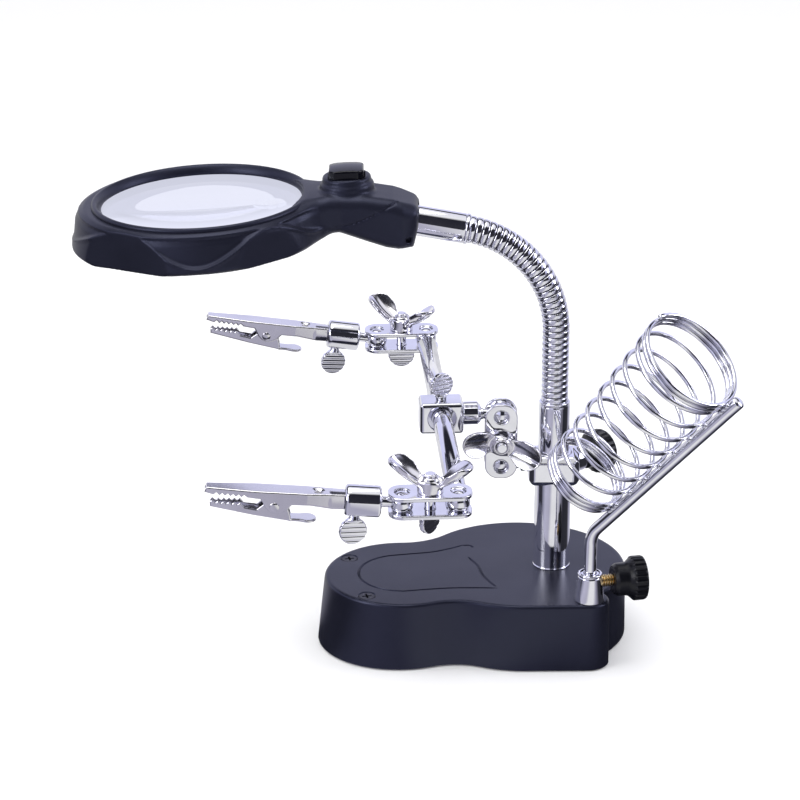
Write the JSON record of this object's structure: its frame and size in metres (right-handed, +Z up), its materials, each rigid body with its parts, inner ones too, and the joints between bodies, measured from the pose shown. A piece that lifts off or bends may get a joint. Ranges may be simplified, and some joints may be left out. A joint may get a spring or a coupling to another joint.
{
  "type": "helping hands clamp",
  "caption": "Bench helping hands: weighted base with post, ball-jointed cross bar and spring clips, gooseneck magnifier lamp and coil stand for a soldering iron.",
  "frame": {"origin": "on the post's axis, in the plane of the desk, on the underside of the anti-slip pad", "axes": "+Z up along the post; +X along the base's long side, from its narrow end to its wide end; +Y to the back"},
  "size_m": [0.2022, 0.1606, 0.1665],
  "materials": {
    "black_plastic": "satin moulded, dark blue-black",
    "button_black": "smooth black",
    "rubber_pad": "foam",
    "cast_iron": "as cast",
    "black_screw": "black oxide",
    "cell_steel": "plain wrap",
    "spring_steel": "bright",
    "brass": "turned",
    "lens": "clear optical plastic",
    "led": "clear dome",
    "clip_steel": "bright plated",
    "chrome": "polished"
  },
  "bodies": {
    "base": {"base_housing": "black_plastic", "base_cover": "black_plastic", "anti_slip_pad": "rubber_pad", "ballast_weight": "cast_iron", "base_screws": "black_screw", "battery_cells": "cell_steel", "battery_contacts": "spring_steel", "stand_post": "chrome", "post_nut": "chrome", "iron_socket": "chrome", "lower_ferrule": "chrome"},
    "battery_door": {"battery_door": "black_plastic"},
    "iron_stand": {"iron_rod": "chrome", "iron_coil": "chrome"},
    "iron_knob": {"iron_knob": "black_plastic", "iron_knob_screw": "brass"},
    "post_clamp": {"post_clamp": "chrome"},
    "post_clamp_knob": {"post_clamp_knob": "black_plastic"},
    "post_ball_stud": {"post_ball_stud": "chrome"},
    "link": {"link_plates": "chrome", "link_bolt": "chrome"},
    "link_wing_nut": {"link_wing_nut": "chrome"},
    "bar_ball_stud": {"bar_ball_stud": "chrome"},
    "bar_clamp": {"bar_clamp": "chrome"},
    "bar_clamp_screw": {"bar_clamp_screw": "chrome"},
    "cross_bar": {"cross_bar": "chrome"},
    "neck_1": {"neck_coils_1": "chrome"},
    "neck_2": {"neck_coils_2": "chrome"},
    "neck_3": {"neck_coils_3": "chrome"},
    "neck_4": {"neck_coils_4": "chrome"},
    "neck_5": {"neck_coils_5": "chrome"},
    "lamp_head": {"upper_ferrule": "chrome", "head_upper_shell": "black_plastic", "head_lower_shell": "black_plastic", "lens_ring": "black_plastic", "main_lens": "lens", "inset_lens": "lens", "led_lamps": "led", "head_screws": "black_screw"},
    "power_button": {"power_button": "button_black"},
    "far_arm": {"far_arm_plates": "chrome", "far_arm_bolt": "chrome"},
    "far_wing_nut": {"far_wing_nut": "chrome"},
    "far_clip_stud": {"far_clip_stud": "chrome"},
    "far_clip": {"far_clip_socket": "chrome", "far_upper_jaw": "clip_steel", "far_clip_rivet": "clip_steel", "far_clip_spring": "spring_steel"},
    "far_socket_screw": {"far_socket_screw": "chrome"},
    "far_lower_jaw": {"far_lower_jaw": "clip_steel"},
    "near_arm": {"near_arm_plates": "chrome", "near_arm_bolt": "chrome"},
    "near_wing_nut": {"near_wing_nut": "chrome"},
    "near_clip_stud": {"near_clip_stud": "chrome"},
    "near_clip": {"near_clip_socket": "chrome", "near_upper_jaw": "clip_steel", "near_clip_rivet": "clip_steel", "near_clip_spring": "spring_steel"},
    "near_socket_screw": {"near_socket_screw": "chrome"},
    "near_lower_jaw": {"near_lower_jaw": "clip_steel"}
  },
  "joints": [
    {"name": "battery_door_lift", "type": "slide", "parent": "base", "child": "battery_door", "axis": [0, 0, -1], "range_m": [0, 0.006]},
    {"name": "iron_turn", "type": "hinge", "parent": "base", "child": "iron_stand", "pos_m": [0.0049, -0.0315, 0.0305], "axis": [0, 0, 1], "range_deg": [-50, 4]},
    {"name": "iron_knob_turn", "type": "hinge", "parent": "base", "child": "iron_knob", "pos_m": [0.0049, -0.0315, 0.0305], "axis": [1, 0, 0], "continuous": true},
    {"name": "neck_sway_1", "type": "hinge", "parent": "base", "child": "neck_1", "pos_m": [0, 0, 0.0852], "axis": [0.9792, -0.2028, 0], "range_deg": [-12, 12]},
    {"name": "neck_bend_1", "type": "hinge", "parent": "neck_1", "child": "neck_2", "pos_m": [0, 0, 0.09977], "axis": [0.2028, 0.9792, 0], "range_deg": [-5, 22]},
    {"name": "neck_sway_2", "type": "hinge", "parent": "neck_2", "child": "neck_3", "pos_m": [-0.00039, 0.00008, 0.11433], "axis": [0.9684, -0.2006, 0.148], "range_deg": [-12, 12]},
    {"name": "neck_bend_2", "type": "hinge", "parent": "neck_3", "child": "neck_4", "pos_m": [-0.00526, 0.00109, 0.12792], "axis": [0.2028, 0.9792, 0], "range_deg": [-5, 22]},
    {"name": "neck_sway_3", "type": "hinge", "parent": "neck_4", "child": "neck_5", "pos_m": [-0.01498, 0.0031, 0.13845], "axis": [0.5631, -0.1166, 0.8181], "range_deg": [-12, 12]},
    {"name": "neck_bend_3", "type": "hinge", "parent": "neck_5", "child": "lamp_head", "pos_m": [-0.02798, 0.00579, 0.14423], "axis": [0.2028, 0.9792, 0], "range_deg": [-5, 22]},
    {"name": "power_button_press", "type": "slide", "parent": "lamp_head", "child": "power_button", "axis": [0.0494, 0.0147, -0.9987], "range_m": [0, 0.0015], "stiffness_N_per_m": 300, "springref_m": -0.0005},
    {"name": "arm_turn", "type": "hinge", "parent": "base", "child": "post_clamp", "pos_m": [0, 0, 0.0604], "axis": [0, 0, 1], "range_deg": [-45, 32]},
    {"name": "post_clamp_knob_turn", "type": "hinge", "parent": "post_clamp", "child": "post_clamp_knob", "pos_m": [0, 0, 0.0604], "axis": [0.8805, 0.4741, 0], "continuous": true},
    {"name": "stud_roll", "type": "hinge", "parent": "post_clamp", "child": "post_ball_stud", "pos_m": [-0.01763, 0.00365, 0.0615], "axis": [0.9792, -0.2028, 0], "range_deg": [-20, 20]},
    {"name": "link_swing", "type": "hinge", "parent": "post_ball_stud", "child": "link", "pos_m": [-0.01763, 0.00365, 0.0615], "axis": [0.2028, 0.9792, 0], "range_deg": [-20, 20]},
    {"name": "link_nut_turn", "type": "hinge", "parent": "link", "child": "link_wing_nut", "pos_m": [-0.01763, 0.00365, 0.0704], "axis": [-0.2028, -0.9792, 0], "continuous": true},
    {"name": "bar_swing", "type": "hinge", "parent": "link", "child": "bar_ball_stud", "pos_m": [-0.01763, 0.00365, 0.0793], "axis": [-0.2028, -0.9792, 0], "range_deg": [-20, 17]},
    {"name": "bar_clamp_roll", "type": "hinge", "parent": "bar_ball_stud", "child": "bar_clamp", "pos_m": [-0.01763, 0.00365, 0.0793], "axis": [-0.9792, 0.2028, 0], "range_deg": [-25, 25]},
    {"name": "bar_screw_turn", "type": "hinge", "parent": "bar_clamp", "child": "bar_clamp_screw", "pos_m": [-0.0376, 0.00779, 0.0793], "axis": [-0.0077, -0.0553, 0.9984], "continuous": true},
    {"name": "bar_slide", "type": "slide", "parent": "bar_clamp", "child": "cross_bar", "axis": [0.1372, 0.989, 0.0558], "range_m": [-0.035, 0.035]},
    {"name": "far_arm_roll", "type": "hinge", "parent": "cross_bar", "child": "far_arm", "pos_m": [-0.0283, 0.07484, 0.08308], "axis": [0.1372, 0.989, 0.0558], "range_deg": [-35, 35]},
    {"name": "far_nut_turn", "type": "hinge", "parent": "far_arm", "child": "far_wing_nut", "pos_m": [-0.03711, 0.07606, 0.08308], "axis": [-0.0077, -0.0553, 0.9984], "continuous": true},
    {"name": "far_clip_swing", "type": "hinge", "parent": "far_arm", "child": "far_clip_stud", "pos_m": [-0.04593, 0.07729, 0.08308], "axis": [-0.0077, -0.0553, 0.9984], "range_deg": [-40, 40]},
    {"name": "far_clip_roll", "type": "hinge", "parent": "far_clip_stud", "child": "far_clip", "pos_m": [-0.04593, 0.07729, 0.08308], "axis": [0.9819, -0.1284, -0.139], "range_deg": [-180, 180]},
    {"name": "far_screw_turn", "type": "hinge", "parent": "far_clip", "child": "far_socket_screw", "pos_m": [-0.06027, 0.07916, 0.08511], "axis": [0.1303, -0.0739, 0.9887], "continuous": true},
    {"name": "far_jaw_open", "type": "hinge", "parent": "far_clip", "child": "far_lower_jaw", "pos_m": [-0.08552, 0.0826, 0.08627], "axis": [-0.1372, -0.989, -0.0558], "range_deg": [-8, 12], "stiffness_Nm_per_rad": 0.01},
    {"name": "near_arm_roll", "type": "hinge", "parent": "cross_bar", "child": "near_arm", "pos_m": [-0.04691, -0.05926, 0.07552], "axis": [0.1372, 0.989, 0.0558], "range_deg": [-35, 35]},
    {"name": "near_nut_turn", "type": "hinge", "parent": "near_arm", "child": "near_wing_nut", "pos_m": [-0.05572, -0.05804, 0.07552], "axis": [-0.0077, -0.0553, 0.9984], "continuous": true},
    {"name": "near_clip_swing", "type": "hinge", "parent": "near_arm", "child": "near_clip_stud", "pos_m": [-0.06454, -0.05682, 0.07552], "axis": [0.0077, 0.0553, -0.9984], "range_deg": [-40, 40]},
    {"name": "near_clip_roll", "type": "hinge", "parent": "near_clip_stud", "child": "near_clip", "pos_m": [-0.06454, -0.05682, 0.07552], "axis": [0.9874, -0.1321, -0.087], "range_deg": [-180, 180]},
    {"name": "near_screw_turn", "type": "hinge", "parent": "near_clip", "child": "near_socket_screw", "pos_m": [-0.07895, -0.05489, 0.07679], "axis": [0.0787, -0.0671, 0.9946], "continuous": true},
    {"name": "near_jaw_open", "type": "hinge", "parent": "near_clip", "child": "near_lower_jaw", "pos_m": [-0.10422, -0.05137, 0.07661], "axis": [-0.1372, -0.989, -0.0558], "range_deg": [-8, 12], "stiffness_Nm_per_rad": 0.01}
  ],
  "couplings": [
    {"joint": "neck_sway_2", "follows": "neck_sway_1", "ratio": 1},
    {"joint": "neck_bend_2", "follows": "neck_bend_1", "ratio": 1},
    {"joint": "neck_sway_3", "follows": "neck_sway_1", "ratio": 1},
    {"joint": "neck_bend_3", "follows": "neck_bend_1", "ratio": 1}
  ]
}
